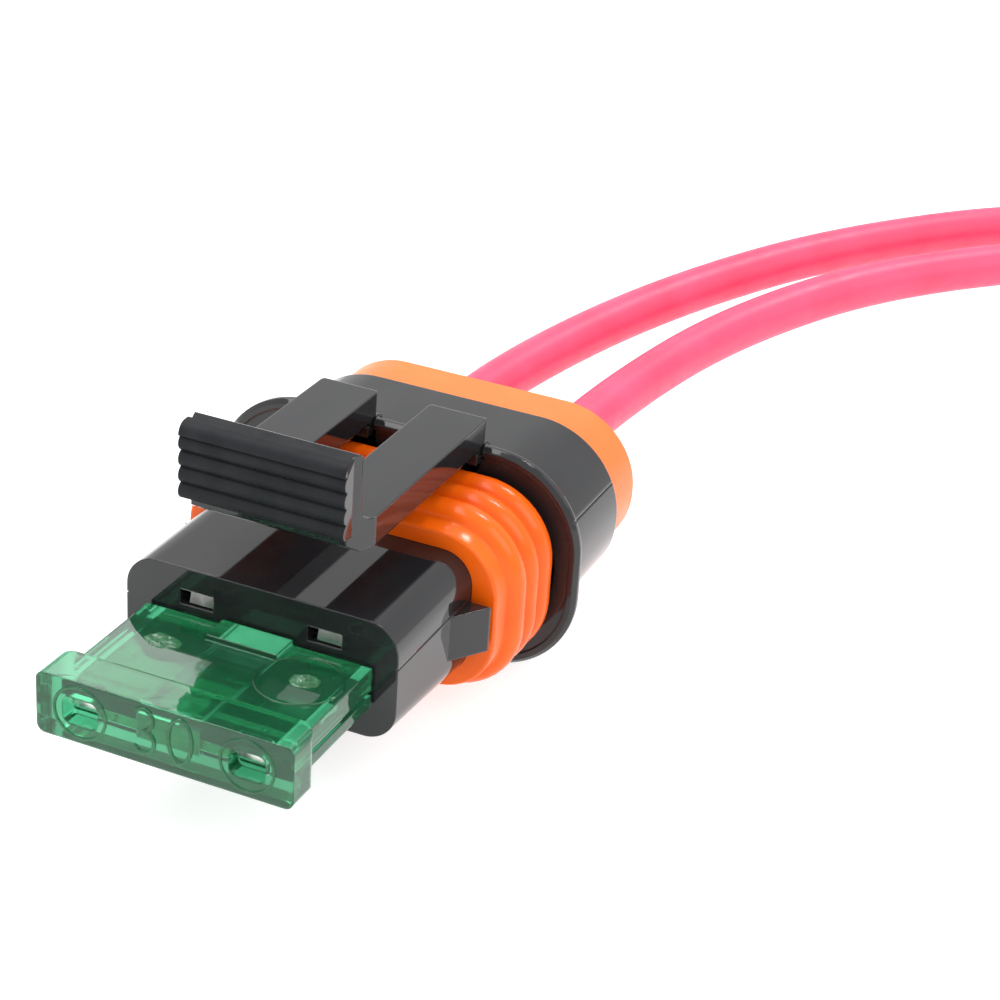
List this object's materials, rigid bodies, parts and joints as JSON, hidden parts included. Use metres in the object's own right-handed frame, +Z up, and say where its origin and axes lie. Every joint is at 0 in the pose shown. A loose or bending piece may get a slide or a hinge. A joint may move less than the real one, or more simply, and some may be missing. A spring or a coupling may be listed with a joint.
{
  "type": "in-line blade fuse holder",
  "caption": "Sealed in-line holder for a plug-in blade fuse: black housing with a sprung latch, ribbed orange seals and pink-red leads.",
  "frame": {"origin": "middle of the flat face under the shroud, on which the holder rests", "axes": "+Y towards the leads, the fuse pulls out along -Y; +Z up to the latch; +X across the two blades"},
  "size_m": [0.0888, 0.1711, 0.0247],
  "materials": {
    "black_plastic": "glossy moulded",
    "orange_silicone": "smooth satin silicone",
    "light_orange_silicone": "smooth satin silicone",
    "green_clear_plastic": "clear tinted, polished",
    "plated_metal": "tin plated, satin",
    "pink_red_insulation": "satin extruded",
    "copper": "bare stranded, satin"
  },
  "bodies": {
    "holder": {"housing": "black_plastic", "ring_seal": "orange_silicone", "wire_seal": "light_orange_silicone", "terminal_left": "plated_metal", "terminal_right": "plated_metal", "lead_left": "pink_red_insulation", "lead_right": "pink_red_insulation", "conductor_left": "copper", "conductor_right": "copper"},
    "latch": {"latch": "black_plastic"},
    "fuse": {"fuse_body": "green_clear_plastic", "fuse_element": "plated_metal"}
  },
  "joints": [
    {"name": "latch_lift", "type": "hinge", "parent": "holder", "child": "latch", "pos_m": [0, -0.00365, 0.0177], "axis": [-1, 0, 0], "range_deg": [0, 6], "stiffness_Nm_per_rad": 0.12},
    {"name": "fuse_pull", "type": "slide", "parent": "holder", "child": "fuse", "axis": [0, -1, 0], "range_m": [0, 0.006]}
  ]
}
